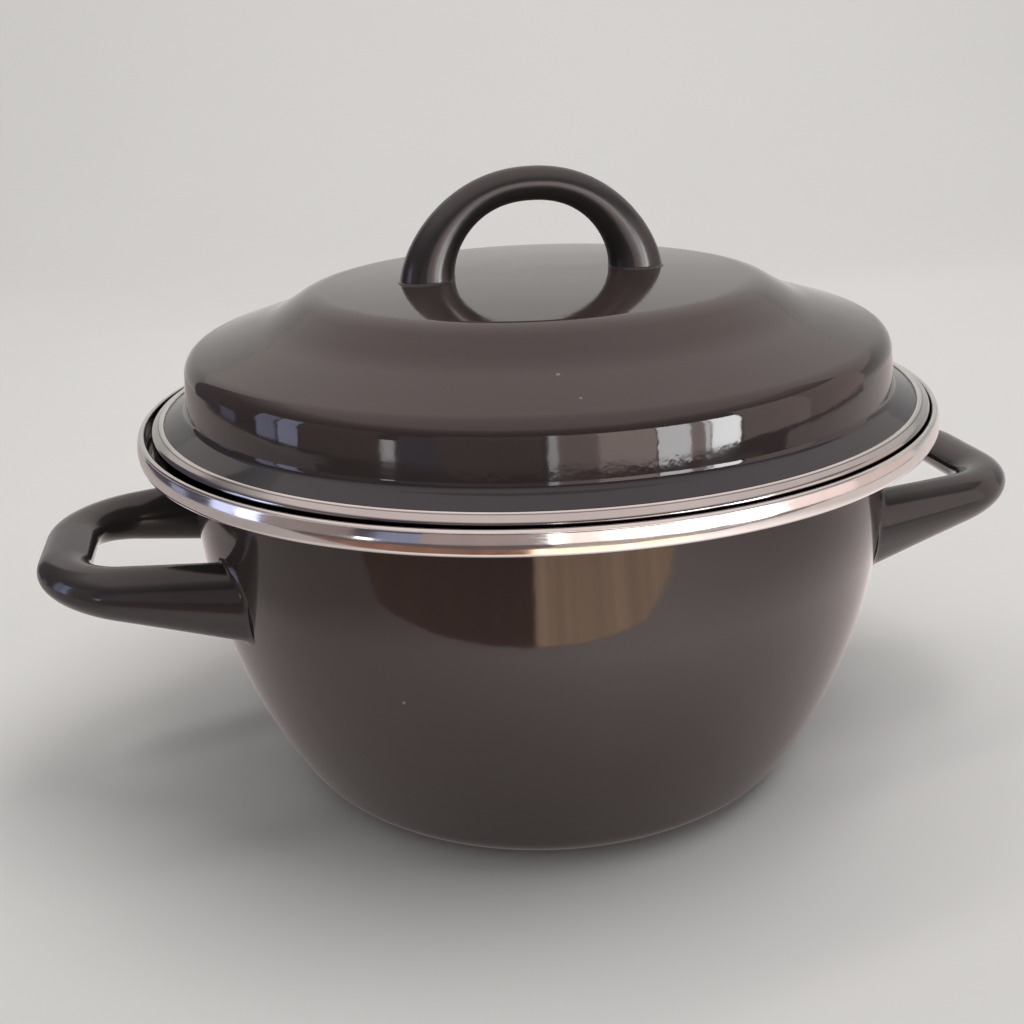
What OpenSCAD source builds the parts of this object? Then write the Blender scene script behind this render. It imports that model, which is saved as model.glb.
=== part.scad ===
// Enamelled steel cooking pot with two loop handles and a loose lid.
// The origin is the middle of the base, Z is up and the loop handles lie along X.
// Upright sections are polylines of the sheet's outer face: [radius, height, bend radius].

/* [Pot] */
// Height of the pot without its lid
pot_h = 112.6; // [100:0.2:130]
// Outer radius of the wall where it is widest
body_r = 101.2; // [92:0.2:112]
// Drop from the top of the rim to the widest ring of the wall
belly_drop = 25; // [22:1:36]
// Radius of the long arc of the belly
belly_arc_r = 155; // [140:1:190]
// Radius of the turn between belly and base
base_turn_r = 18.4; // [14:0.2:24]
// Radius of the turn between wall and ledge
mouth_turn_r = 6; // [4:0.5:8]
// How far the rim stands out from the wall
mouth_w = 13.8; // [13:0.2:18]
// Thickness of the enamelled sheet
sheet_t = 1; // [0.8:0.1:1.2]

/* [Steel bands] */
// Height of the band on the pot's edge
rim_h = 7.2; // [6.4:0.1:9]
// Depth of the band's inner leg
rim_leg_h = 4; // [3:0.1:4.5]
// Thickness of the band's steel
rim_t = 0.4; // [0.3:0.05:0.6]
// Outer radius of the band's rounded edges
rim_edge_r = 1.1; // [0.9:0.05:1.1]
// Width of the lip that is turned in under each band
rim_lip_w = 3.2; // [2.6:0.1:4]
// Width that the lid's band covers, in from its outer edge
lid_band_w = 3.7; // [3.4:0.1:6]

/* [Lid] */
// Play between the lid's band and the pot's band, all round
lid_play = 1.1; // [1:0.1:2]
// How far the loose lid lies towards the right handle
lid_shift = 0.8; // [0:0.1:0.8]
// Height of the turned-down edge of the lid
lid_hem_h = 4.4; // [4:0.1:7]
// Distance in from the lid's outer edge to the foot of its wall
lid_flange_w = 9.9; // [8.5:0.1:14]
// Height that the flange gains on its way to the wall
lid_flange_rise = 5; // [3:0.1:7]
// Height of the lid's wall
lid_wall_h = 14.4; // [10:0.2:24]
// How far the wall leans in over its height
lid_wall_lean = 1.4; // [0.6:0.1:3]
// Width of the sloping ring above the wall
lid_dome_w = 23.5; // [18:0.5:28]
// Height of the sloping ring
lid_dome_rise = 7.4; // [6:0.1:9]
// Width of the step up to the raised middle
lid_step_w = 12; // [10:0.5:15]
// Height of the step
lid_step_rise = 7.2; // [5.5:0.1:8]
// Height that the raised middle gains from its edge to its centre
lid_crown_rise = 1.9; // [0.8:0.1:2.6]
// Bend radius between turned-down edge and flange
lid_hem_bend_r = 1.6; // [1.4:0.1:2]
// Bend radius between flange and wall
lid_foot_bend_r = 3.5; // [2:0.1:6]
// Bend radius between wall and sloping ring
lid_shoulder_bend_r = 6; // [4:0.1:8]
// Bend radius at the foot of the step
lid_step_bend_r = 30; // [20:1:36]
// Bend radius at the top of the step
lid_crown_bend_r = 16; // [10:1:24]

/* [Side handles] */
// Reach of the bar's centre line from the wall
handle_reach = 37.3; // [32:0.1:50]
// Drop from the top of the rim to the roots of the legs
handle_drop = 39; // [34:0.5:46]
// Height that the bar lies above the roots
handle_rise = 3.4; // [0:0.1:6]
// Length of the bar between the corners of its centre line
handle_bar_w = 54.8; // [46:0.1:60]
// Angle at which the legs spread towards the wall
handle_spread = 14; // [8:0.5:20]
// Radius of the corners of the centre line
handle_turn_r = 22.6; // [14:0.2:24]
// Width of the tube seen from above
handle_tube_w = 14.8; // [12:0.1:17]
// Height of the tube at the bar
handle_bar_h = 10.8; // [8:0.1:13]
// Height of the tube at the wall
handle_leg_h = 19.8; // [15:0.1:22]

/* [Lid handle] */
// Half the distance between the feet, on the centre line
bow_half_span = 30.4; // [27:0.1:36]
// Height of the centre line over its feet
bow_h = 25.2; // [23:0.1:34]
// Thickness of the tube at the top of the bow
bow_top_t = 9.5; // [8:0.1:12]
// Thickness of the tube at the feet
bow_foot_t = 15.9; // [13:0.1:18]
// Width of the tube across the bow, as a share of its thickness
bow_width_share = 0.98; // [0.8:0.01:1.1]
// Roundness of the bow at its shoulders
bow_shoulder = 2.2; // [2.1:0.05:2.8]
// Roundness of the bow at its crown
bow_crown = 1.65; // [1.5:0.05:2]

/* [Welds] */
// How far a weld spreads round the leg of a side handle
weld_w = 1.4; // [0.6:0.1:2]
// How far a weld spreads round a foot of the lid handle
bow_weld_w = 0.8; // [0.4:0.1:2]
// Height of the welds along the handles
weld_h = 3.5; // [2:0.1:5]

/* [Fits] */
// Gap between a steel band and the sheet inside it
band_gap = 0.3; // [0.2:0.05:0.4]
// Gap between a welded foot and the curved face it stands on
weld_gap = 0.1; // [0.05:0.05:0.3]

/* [Hidden] */
$fn = 180;
enamel_colour = [0.2, 0.17, 0.16];
steel_colour = [0.78, 0.76, 0.74];
// Largest distance between a true arc and its chords
arc_error = 0.02;
tube_sides = 24;
leg_rings = 8;
turn_rings = 9;
bow_rings = 44;
// The handle solids start this far inside the wall, and are then cut back to its face
handle_sink = 14;
// The bow starts this far inside the lid and is cut back in the same way
bow_sink = 3;
// How fast the foot's extra thickness dies away on the way up the bow
bow_taper = 1.25;

// Heights and radii that follow from the sizes
belly_z = pot_h - belly_drop;
rim_r = body_r + mouth_w;
rim_bottom_z = pot_h - rim_h;
ledge_under_z = rim_bottom_z + rim_t;
seat_z = ledge_under_z + sheet_t;
edge_r = rim_r - rim_t - band_gap;
edge_top_z = pot_h - rim_t - band_gap;
rim_in_r = edge_r - sheet_t - band_gap - rim_t;
lid_r = rim_in_r - lid_play;
lid_hem_r = lid_r - rim_t - band_gap;
lid_hem_z = seat_z + rim_t + band_gap;
flange_z = lid_hem_z + lid_hem_h;
wall_foot_r = lid_r - lid_flange_w;
wall_foot_z = flange_z + lid_flange_rise;
shoulder_r = wall_foot_r - lid_wall_lean;
shoulder_z = wall_foot_z + lid_wall_h;
step_foot_r = shoulder_r - lid_dome_w;
step_foot_z = shoulder_z + lid_dome_rise;
crown_r = step_foot_r - lid_step_w;
crown_z = step_foot_z + lid_step_rise;
crown_top_z = crown_z + lid_crown_rise;
bar_x = body_r + handle_reach;

// Where the belly's arc runs into the turn at the base, and how far it leans there
belly_lean = asin((belly_z - base_turn_r) / (belly_arc_r - base_turn_r));
belly_end = [body_r - belly_arc_r * (1 - cos(belly_lean)), belly_z - belly_arc_r * sin(belly_lean)];
belly_dir = [sin(belly_lean), cos(belly_lean)];
base_corner = belly_end - belly_dir * belly_end[1] / belly_dir[1];
belly_corner = belly_end + belly_dir * (body_r - belly_end[0]) / belly_dir[0];

// The raised middle is one wide arc, from the bend at its edge to its centre
crown_mid_r = crown_r / 2;
crown_slope = atan(lid_crown_rise / crown_mid_r);
crown_bend_reach = lid_crown_bend_r * tan((atan(lid_step_rise / lid_step_w) - crown_slope) / 2);
crown_arc_r = (crown_mid_r - crown_bend_reach) / tan(crown_slope / 2);
// Height of the raised middle under the bow's feet
bow_foot_z = crown_top_z - pow(bow_half_span, 2) / (2 * crown_arc_r);

// Outer faces of the sheets and bands, each with its inner side on the left
wall_line = [
    [0, 0, 0],
    [base_corner[0], base_corner[1], base_turn_r],
    [belly_corner[0], belly_corner[1], belly_arc_r],
];
pot_line = concat(wall_line, [
    [body_r, ledge_under_z, mouth_turn_r],
    [edge_r, ledge_under_z, sheet_t + band_gap],
    [edge_r, edge_top_z, 0],
]);
pot_rim_line = [
    [rim_r - rim_lip_w, rim_bottom_z, 0],
    [rim_r, rim_bottom_z, rim_edge_r],
    [rim_r, pot_h, rim_edge_r],
    [rim_in_r, pot_h, rim_edge_r],
    [rim_in_r, pot_h - rim_leg_h, 0],
];
lid_line = [
    [lid_hem_r, lid_hem_z, 0],
    [lid_hem_r, flange_z, lid_hem_bend_r],
    [wall_foot_r, wall_foot_z, lid_foot_bend_r],
    [shoulder_r, shoulder_z, lid_shoulder_bend_r],
    [step_foot_r, step_foot_z, lid_step_bend_r],
    [crown_r, crown_z, lid_crown_bend_r],
    [crown_mid_r, crown_top_z, crown_arc_r],
    [0, crown_top_z, 0],
];
// The lid's band follows the lid's edge and ends part of the way up the flange
flange_share = (lid_band_w - rim_t - band_gap) / (lid_flange_w - rim_t - band_gap);
flange_stop = [
    lid_hem_r + flange_share * (wall_foot_r - lid_hem_r),
    flange_z + flange_share * lid_flange_rise,
    0
];
lid_band_line = beside([lid_line[0], lid_line[1], flange_stop], -rim_t - band_gap);
lid_rim_line = [
    [lid_r - rim_lip_w, seat_z, 0],
    [lid_r, seat_z, rim_edge_r],
    lid_band_line[1],
    lid_band_line[2],
];

// Direction of the straight run that ends at point i of a line
function run_dir(line, i) =
    let (step = [line[i][0] - line[i - 1][0], line[i][1] - line[i - 1][1]])
    step / norm(step);

function left_of(dir) = [-dir[1], dir[0]];

// A line moved to its left by a distance, with its bends tightened or widened to match
function beside(line, distance) = [
    for (i = [0:len(line) - 1])
        let (
            into = run_dir(line, max(i, 1)),
            away = run_dir(line, min(i + 1, len(line) - 1)),
            across = (left_of(into) + left_of(away)) / (1 + into * away),
            bend = line[i][2] > 0 ? line[i][2] - sign(cross(into, away)) * distance : 0
        )
        [line[i][0] + distance * across[0], line[i][1] + distance * across[1], bend]
];

// The arc that rounds point i of a line, or the point itself where it has no bend
function bend_points(line, i) =
    let (corner = [line[i][0], line[i][1]], bend = line[i][2])
    bend <= 0 ? [corner] :
    let (
        into = run_dir(line, i),
        away = run_dir(line, i + 1),
        turn = atan2(cross(into, away), into * away),
        start = corner - into * bend * tan(abs(turn) / 2),
        centre = start + left_of(into) * sign(turn) * bend,
        arm = start - centre,
        steps = max(2, ceil(abs(turn) / (2 * acos(1 - arc_error / bend))))
    )
    [for (k = [0:steps])
        let (a = turn * k / steps)
        centre + [arm[0] * cos(a) - arm[1] * sin(a), arm[0] * sin(a) + arm[1] * cos(a)]];

function rounded(line) = [for (i = [0:len(line) - 1]) each bend_points(line, i)];

function reversed(list) = [for (i = [len(list) - 1:-1:0]) list[i]];

// Round sheet-metal form of even thickness, from the line of its outer face
module turned_sheet(line, thickness) {
    rotate_extrude()
        polygon(concat(rounded(line), reversed(rounded(beside(line, thickness)))));
}

// Solid through a row of rings with equally many points, closed at both ends
module skinned(rings) {
    n = len(rings[0]);
    last = len(rings) - 1;
    sides = [
        for (i = [0:last - 1], k = [0:n - 1])
            let (a = i * n + k, b = i * n + (k + 1) % n)
            each [[a, a + n, b], [b, a + n, b + n]]
    ];
    first_cap = [for (k = [0:n - 1]) k];
    last_cap = [for (k = [n - 1:-1:0]) last * n + k];
    polyhedron([for (ring = rings) each ring], concat(sides, [first_cap, last_cap]));
}

// Extra half thickness that a weld gives at a distance from the face it sits on
function weld_spread(spread, distance) = spread * pow(max(0, 1 - max(0, distance) / weld_h), 2);

// Plan of a side handle's centre line, from one leg's end to the other's
handle_start = body_r - handle_sink;
leg_run = bar_x - handle_start;
leg_end_y = handle_bar_w / 2 + leg_run * tan(handle_spread);
handle_line = [
    [handle_start, -leg_end_y, 0],
    [bar_x, -handle_bar_w / 2, handle_turn_r],
    [bar_x, handle_bar_w / 2, handle_turn_r],
    [handle_start, leg_end_y, 0],
];
turn_angle = 90 - handle_spread;
turn_reach = handle_turn_r * tan(turn_angle / 2);
leg_length = leg_run / cos(handle_spread) - turn_reach;

// Centre point and direction on the half of the plan with negative Y, by its leg and its turn
function leg_at(share) =
    let (dir = [cos(handle_spread), sin(handle_spread)])
    [[handle_start, -leg_end_y] + dir * leg_length * share, dir];
function turn_at(share) =
    let (
        start = leg_at(1),
        centre = start[0] + left_of(start[1]) * handle_turn_r,
        a = handle_spread + turn_angle * share
    )
    [centre + handle_turn_r * [sin(a), -cos(a)], [cos(a), sin(a)]];

half_plan = concat(
    [for (i = [0:leg_rings - 1]) leg_at(i / leg_rings)],
    [for (i = [0:turn_rings]) turn_at(i / turn_rings)]);
whole_plan = concat(half_plan, [
    for (spot = reversed(half_plan)) [[spot[0][0], -spot[0][1]], [-spot[1][0], spot[1][1]]]
]);

// One ring of a side handle: an upright oval across the centre line
function handle_ring(spot) =
    let (
        out = (spot[0][0] - body_r) / handle_reach,
        weld = weld_spread(weld_w, norm(spot[0]) - body_r),
        half_w = handle_tube_w / 2 + weld,
        half_h = (handle_leg_h + (handle_bar_h - handle_leg_h) * out) / 2 + weld,
        z = pot_h - handle_drop + handle_rise * out
    )
    [for (k = [0:tube_sides - 1])
        let (a = 360 * k / tube_sides, side = left_of(spot[1]) * half_w * cos(a))
        [spot[0][0] + side[0], spot[0][1] + side[1], z + half_h * sin(a)]];

module side_handle(turn) {
    color(enamel_colour)
        rotate([0, 0, turn])
        difference() {
            skinned([for (spot = whole_plan) handle_ring(spot)]);
            // The pot's outer form, so that the legs end on its wall
            rotate_extrude()
                polygon(concat(
                    rounded(beside(concat(wall_line, [[body_r, ledge_under_z, 0]]), -weld_gap)),
                    [[0, ledge_under_z]]));
        }
}

// Centre line of the lid's bow: distance along X and height over its feet
function bow_at(a) = [
    bow_half_span * sign(sin(a)) * pow(abs(sin(a)), 2 / bow_shoulder),
    bow_h * pow(max(0, cos(a)), 2 / bow_crown)
];

// One ring of the bow, across its centre line and lowered by a distance
function bow_ring(i, drop) =
    let (
        a = 180 * i / bow_rings - 90,
        spot = bow_at(a),
        step = bow_at(min(a + 0.5, 90)) - bow_at(max(a - 0.5, -90)),
        dir = abs(a) == 90 ? [0, -sign(a)] : step / norm(step),
        swell = (bow_foot_t - bow_top_t) * pow(1 - spot[1] / bow_h, bow_taper),
        half_t = (bow_top_t + swell) / 2,
        weld = weld_spread(bow_weld_w, spot[1]),
        z = bow_foot_z + spot[1] - drop
    )
    [for (k = [0:tube_sides - 1])
        let (
            round = 360 * k / tube_sides,
            side = left_of(dir) * (half_t + weld) * cos(round)
        )
        [spot[0] + side[0], -(half_t * bow_width_share + weld) * sin(round), z + side[1]]];

module pot_body() {
    color(enamel_colour) turned_sheet(pot_line, sheet_t);
}

module pot_rim() {
    color(steel_colour) turned_sheet(pot_rim_line, rim_t);
}

module handle_left() {
    side_handle(180);
}

module handle_right() {
    side_handle(0);
}

module lid_shell() {
    color(enamel_colour) translate([lid_shift, 0, 0]) turned_sheet(lid_line, sheet_t);
}

module lid_rim() {
    color(steel_colour) translate([lid_shift, 0, 0]) turned_sheet(lid_rim_line, rim_t);
}

module lid_handle() {
    color(enamel_colour)
        translate([lid_shift, 0, 0])
        difference() {
            skinned(concat(
                [bow_ring(0, bow_sink)],
                [for (i = [0:bow_rings]) bow_ring(i, 0)],
                [bow_ring(bow_rings, bow_sink)]));
            // The lid's outer form, so that the feet end on its raised middle
            rotate_extrude()
                polygon(concat(
                    rounded(beside(lid_line, -weld_gap)),
                    [[0, lid_hem_z]]));
        }
}

pot_body();
pot_rim();
handle_left();
handle_right();
lid_shell();
lid_rim();
lid_handle();
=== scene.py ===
import math

import bpy
import numpy as np
from mathutils import Matrix, Vector


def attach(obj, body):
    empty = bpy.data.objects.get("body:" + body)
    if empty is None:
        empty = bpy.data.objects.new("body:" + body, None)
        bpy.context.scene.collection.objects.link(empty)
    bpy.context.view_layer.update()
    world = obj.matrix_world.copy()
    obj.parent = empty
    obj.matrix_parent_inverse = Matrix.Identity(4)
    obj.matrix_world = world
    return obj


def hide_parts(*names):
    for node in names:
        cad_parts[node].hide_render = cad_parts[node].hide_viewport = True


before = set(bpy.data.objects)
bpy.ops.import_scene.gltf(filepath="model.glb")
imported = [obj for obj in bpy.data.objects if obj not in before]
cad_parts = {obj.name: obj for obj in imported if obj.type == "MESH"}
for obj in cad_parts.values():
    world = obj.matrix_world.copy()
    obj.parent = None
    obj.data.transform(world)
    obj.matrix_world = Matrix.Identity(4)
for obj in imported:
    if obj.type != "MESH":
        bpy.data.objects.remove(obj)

# The object's sizes are in millimetres, and MM turns them into metres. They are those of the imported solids,
# apart from the values that are said to be drawn differently
MM = 0.001

# Pot
POT_H = 112.6
BODY_R = 101.2
BELLY_DROP = 25
BELLY_ARC_R = 155
BASE_TURN_R = 18.4
MOUTH_TURN_R = 6
MOUTH_W = 13.8
SHEET_T = 1

# Steel bands
RIM_H = 7.2
RIM_LEG_H = 4
RIM_T = 0.4
RIM_EDGE_R = 1.1
RIM_LIP_W = 3.2
LID_BAND_W = 3.7
# The pot's band is drawn as a rounded bead: places along it from RIM_R inwards and from its foot upwards
RIM_FOOT_IN = 0.28
RIM_BELLY_OUT = 0.12
RIM_BELLY_UP = 3.0
RIM_SHOULDER_IN = 0.55
RIM_SHOULDER_UP = 5.6
RIM_CREST_IN = 1.35
RIM_INNER_DROP = 1.1
# Bends of the bead at those places
RIM_FOOT_BEND_R = 1.5
RIM_BELLY_BEND_R = 8
RIM_SHOULDER_BEND_R = 4
RIM_CREST_BEND_R = 1.0
RIM_INNER_BEND_R = 0.6
# The drawn sheet inside it ends lower than the solid's and keeps clear of the bead
EDGE_IN = 0.15
EDGE_UP = 4.4
# The lid's band is drawn rounder and higher than the solid's, with a curled inner edge
LID_BAND_TURN_R = 1.7
LID_BAND_LIFT = 0.3
BAND_CURL_R = 0.7

# Lid
LID_PLAY = 1.1
LID_SHIFT = 0.8
LID_HEM_H = 4.4
LID_FLANGE_W = 9.9
LID_FLANGE_RISE = 5
LID_WALL_H = 14.4
LID_WALL_LEAN = 1.4
# The drawn wall bulges out by this much halfway up
LID_WALL_BULGE = 0.12
LID_DOME_W = 23.5
LID_DOME_RISE = 7.4
LID_STEP_W = 12
LID_STEP_RISE = 7.2
LID_CROWN_RISE = 1.9
HEM_BEND_R = 1.6
# The wall's foot is drawn with a tighter bend than the solid's 3.5
FOOT_BEND_R = 2.2
SHOULDER_BEND_R = 6
STEP_BEND_R = 30
CROWN_BEND_R = 16

# Side handles
HANDLE_REACH = 37.3
# The middle lines of the legs start this far inside the wall's widest radius
HANDLE_START_IN = 14
HANDLE_DROP = 39
HANDLE_RISE = 3.4
HANDLE_BAR_W = 54.8
HANDLE_SPREAD = math.radians(14)
HANDLE_TURN_R = 22.6
HANDLE_TUBE_W = 14.8
HANDLE_BAR_H = 10.8
HANDLE_LEG_H = 19.8

# Lid handle
BOW_HALF_SPAN = 30.4
BOW_H = 25.2
BOW_TOP_T = 9.5
BOW_FOOT_T = 15.9
BOW_WIDTH_SHARE = 0.98
BOW_SHOULDER = 2.2
BOW_CROWN = 1.65
BOW_TAPER = 1.25

# Welds, drawn as fillets of these radii, and fits
WELD_R = 1.3
BOW_WELD_R = 0.6
BAND_GAP = 0.3
# The drawn handles reach this far into the sheet that carries them, so that no seam opens
SINK = 0.35
BOW_SINK = 0.65

# Fineness of the meshes
TURN_STEPS = 300
ARC_ERROR = 0.003
FEWEST_ARC_STEPS = 4
# A straight run longer than WHOLE_RUN gets points NEAR_RUN from its ends and up to LONGEST_RUN apart
WHOLE_RUN = 1.0
NEAR_RUN = 0.25
LONGEST_RUN = 4.0
TUBE_SIDES = 64
LEG_STEPS = 40
HANDLE_TURN_STEPS = 40
BAR_STEPS = 6
BOW_STEPS = 180
# How strongly the rings crowd towards the welds, where 1 is even
LEG_CROWDING = 2.2
BOW_CROWDING = 1.7
# Halvings in the search for the wall along a leg
HALVINGS = 30
# Steps for the slope of the wall, in millimetres, and of the bow, in radians
WALL_STEP = 0.5
BOW_STEP = 0.005
# Points or radii, and angles, closer than this count as the same
SAME = 1e-6
SAME_ANGLE = 1e-9

# Heights and radii that follow
BELLY_Z = POT_H - BELLY_DROP
RIM_R = BODY_R + MOUTH_W
RIM_BOTTOM_Z = POT_H - RIM_H
LEDGE_UNDER_Z = RIM_BOTTOM_Z + RIM_T
SEAT_Z = LEDGE_UNDER_Z + SHEET_T
EDGE_R = RIM_R - RIM_T - BAND_GAP
RIM_IN_R = EDGE_R - SHEET_T - BAND_GAP - RIM_T
LID_R = RIM_IN_R - LID_PLAY
LID_HEM_R = LID_R - RIM_T - BAND_GAP
LID_HEM_Z = SEAT_Z + RIM_T + BAND_GAP
FLANGE_Z = LID_HEM_Z + LID_HEM_H
WALL_FOOT_R = LID_R - LID_FLANGE_W
WALL_FOOT_Z = FLANGE_Z + LID_FLANGE_RISE
SHOULDER_R = WALL_FOOT_R - LID_WALL_LEAN
SHOULDER_Z = WALL_FOOT_Z + LID_WALL_H
STEP_FOOT_R = SHOULDER_R - LID_DOME_W
STEP_FOOT_Z = SHOULDER_Z + LID_DOME_RISE
CROWN_R = STEP_FOOT_R - LID_STEP_W
CROWN_Z = STEP_FOOT_Z + LID_STEP_RISE
CROWN_TOP_Z = CROWN_Z + LID_CROWN_RISE
CROWN_MID_R = CROWN_R / 2
CROWN_SLOPE = math.atan(LID_CROWN_RISE / CROWN_MID_R)
CROWN_BEND_REACH = CROWN_BEND_R * math.tan((math.atan(LID_STEP_RISE / LID_STEP_W) - CROWN_SLOPE) / 2)
CROWN_ARC_R = (CROWN_MID_R - CROWN_BEND_REACH) / math.tan(CROWN_SLOPE / 2)
BOW_FOOT_Z = CROWN_TOP_Z - BOW_HALF_SPAN ** 2 / (2 * CROWN_ARC_R)
BAR_X = BODY_R + HANDLE_REACH

# Camera: where it stands round the middle of the pot's rim, and how it is turned from looking at it
CAMERA_LENS = 45.703
SENSOR = 36.0
CAMERA_DISTANCE = 0.38786
CAMERA_ROUND = 0.208
CAMERA_UP = 0.2597
CAMERA_PAN = -0.02187
CAMERA_TILT = 0.09283
CAMERA_ROLL = -0.04385


def camera_frame():
    """Place of the camera and its right, up and forward directions."""
    turn = Matrix.Rotation(-CAMERA_ROUND, 3, "Z")
    back = Vector((0, -math.cos(CAMERA_UP), math.sin(CAMERA_UP)))
    dip = CAMERA_UP + CAMERA_TILT
    forward = Vector((
        math.sin(CAMERA_PAN) * math.cos(dip),
        math.cos(CAMERA_PAN) * math.cos(dip),
        -math.sin(dip),
    ))
    level = Vector((math.cos(CAMERA_PAN), -math.sin(CAMERA_PAN), 0))
    above = level.cross(forward)
    right = math.cos(CAMERA_ROLL) * level + math.sin(CAMERA_ROLL) * above
    up = math.cos(CAMERA_ROLL) * above - math.sin(CAMERA_ROLL) * level
    place = turn @ (back * CAMERA_DISTANCE) + Vector((0, 0, POT_H * MM))
    return place, turn @ right, turn @ up, turn @ forward


def make_camera():
    data = bpy.data.cameras.new("camera")
    data.lens = CAMERA_LENS
    data.sensor_width = SENSOR
    data.sensor_height = SENSOR
    data.clip_start = 0.01
    data.clip_end = 50
    camera = bpy.data.objects.new("camera", data)
    bpy.context.scene.collection.objects.link(camera)
    place, right, up, forward = camera_frame()
    axes = Matrix((right, up, -forward)).transposed()
    camera.matrix_world = Matrix.Translation(place) @ axes.to_4x4()
    bpy.context.scene.camera = camera


# Section lines of sheets: points [radius, height, bend radius] with the inner side on the left


def unit(vector):
    return vector / np.linalg.norm(vector)


def left_of(direction):
    return np.array([-direction[1], direction[0]])


def run_dir(line, i):
    return unit(np.array(line[i][:2], float) - np.array(line[i - 1][:2], float))


def turn_between(into, away):
    return math.atan2(into[0] * away[1] - into[1] * away[0], float(into @ away))


def beside(line, distance):
    """The line moved to its left, with its bends tightened or widened to match."""
    moved = []
    for i, (radius, height, bend) in enumerate(line):
        into = run_dir(line, max(i, 1))
        away = run_dir(line, min(i + 1, len(line) - 1))
        across = (left_of(into) + left_of(away)) / (1 + into @ away)
        if bend > 0:
            bend -= math.copysign(distance, turn_between(into, away))
        moved.append([radius + distance * across[0], height + distance * across[1], bend])
    return moved


def rounded(line):
    """The line's points, with arcs for its bends and long straight runs divided."""
    points = []
    for i, (radius, height, bend) in enumerate(line):
        corner = np.array([radius, height], float)
        if bend <= 0:
            arc = [corner]
        else:
            into, away = run_dir(line, i), run_dir(line, i + 1)
            turn = turn_between(into, away)
            start = corner - into * bend * math.tan(abs(turn) / 2)
            centre = start + left_of(into) * math.copysign(bend, turn)
            arm = start - centre
            fine = math.ceil(abs(turn) / (2 * math.acos(1 - ARC_ERROR / bend)))
            steps = max(FEWEST_ARC_STEPS, fine)
            arc = []
            for k in range(steps + 1):
                a = turn * k / steps
                arc.append(centre + np.array([
                    arm[0] * math.cos(a) - arm[1] * math.sin(a),
                    arm[0] * math.sin(a) + arm[1] * math.cos(a),
                ]))
        if points:
            gap = arc[0] - points[-1]
            length = np.linalg.norm(gap)
            if length < SAME:
                arc = arc[1:]
            elif length > WHOLE_RUN:
                # Short runs next to the bends keep the shading of the long one even
                between = length - 2 * NEAR_RUN
                inner = max(1, math.ceil(between / LONGEST_RUN))
                ways = [NEAR_RUN + between * k / inner for k in range(inner + 1)]
                last = points[-1]
                points.extend(last + gap / length * way for way in ways)
        points.extend(arc)
    return points


def belly_corner_points():
    """Corners of the wall's line where the base turns up and where the belly bends to upright."""
    lean = math.asin((BELLY_Z - BASE_TURN_R) / (BELLY_ARC_R - BASE_TURN_R))
    end = np.array([
        BODY_R - BELLY_ARC_R * (1 - math.cos(lean)),
        BELLY_Z - BELLY_ARC_R * math.sin(lean),
    ])
    direction = np.array([math.sin(lean), math.cos(lean)])
    base = end - direction * end[1] / direction[1]
    upper = end + direction * (BODY_R - end[0]) / direction[0]
    return base, upper


BASE_CORNER, BELLY_CORNER = belly_corner_points()
WALL_LINE = [
    [0, 0, 0],
    [BASE_CORNER[0], BASE_CORNER[1], BASE_TURN_R],
    [BELLY_CORNER[0], BELLY_CORNER[1], BELLY_ARC_R],
]
POT_LINE = WALL_LINE + [
    [BODY_R, LEDGE_UNDER_Z, MOUTH_TURN_R],
    [EDGE_R - EDGE_IN, LEDGE_UNDER_Z, SHEET_T + BAND_GAP],
    [EDGE_R - EDGE_IN, RIM_BOTTOM_Z + EDGE_UP, 0],
]
POT_RIM_LINE = [
    [RIM_R - RIM_LIP_W, RIM_BOTTOM_Z, 0],
    [RIM_R - RIM_FOOT_IN, RIM_BOTTOM_Z, RIM_FOOT_BEND_R],
    [RIM_R + RIM_BELLY_OUT, RIM_BOTTOM_Z + RIM_BELLY_UP, RIM_BELLY_BEND_R],
    [RIM_R - RIM_SHOULDER_IN, RIM_BOTTOM_Z + RIM_SHOULDER_UP, RIM_SHOULDER_BEND_R],
    [RIM_R - RIM_CREST_IN, POT_H, RIM_CREST_BEND_R],
    [RIM_IN_R, POT_H - RIM_INNER_DROP, RIM_INNER_BEND_R],
    [RIM_IN_R, POT_H - RIM_LEG_H, 0],
]
WALL_MIDDLE_R = (WALL_FOOT_R + SHOULDER_R) / 2
WALL_MIDDLE_Z = (WALL_FOOT_Z + SHOULDER_Z) / 2
WALL_BULGE_R = LID_WALL_H ** 2 / (8 * LID_WALL_BULGE)
LID_LINE = [
    [LID_HEM_R, LID_HEM_Z, 0],
    [LID_HEM_R, FLANGE_Z, HEM_BEND_R],
    [WALL_FOOT_R, WALL_FOOT_Z, FOOT_BEND_R],
    [WALL_MIDDLE_R + LID_WALL_BULGE, WALL_MIDDLE_Z, WALL_BULGE_R / 2],
    [SHOULDER_R, SHOULDER_Z, SHOULDER_BEND_R],
    [STEP_FOOT_R, STEP_FOOT_Z, STEP_BEND_R],
    [CROWN_R, CROWN_Z, CROWN_BEND_R],
    [CROWN_MID_R, CROWN_TOP_Z, CROWN_ARC_R],
    [0, CROWN_TOP_Z, 0],
]
FLANGE_SHARE = (LID_BAND_W - RIM_T - BAND_GAP) / (LID_FLANGE_W - RIM_T - BAND_GAP)
FLANGE_STOP = [
    LID_HEM_R + FLANGE_SHARE * (WALL_FOOT_R - LID_HEM_R),
    FLANGE_Z + FLANGE_SHARE * LID_FLANGE_RISE,
    0,
]
LID_BAND_LINE = beside([LID_LINE[0], LID_LINE[1], FLANGE_STOP], -RIM_T - BAND_GAP)
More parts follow.
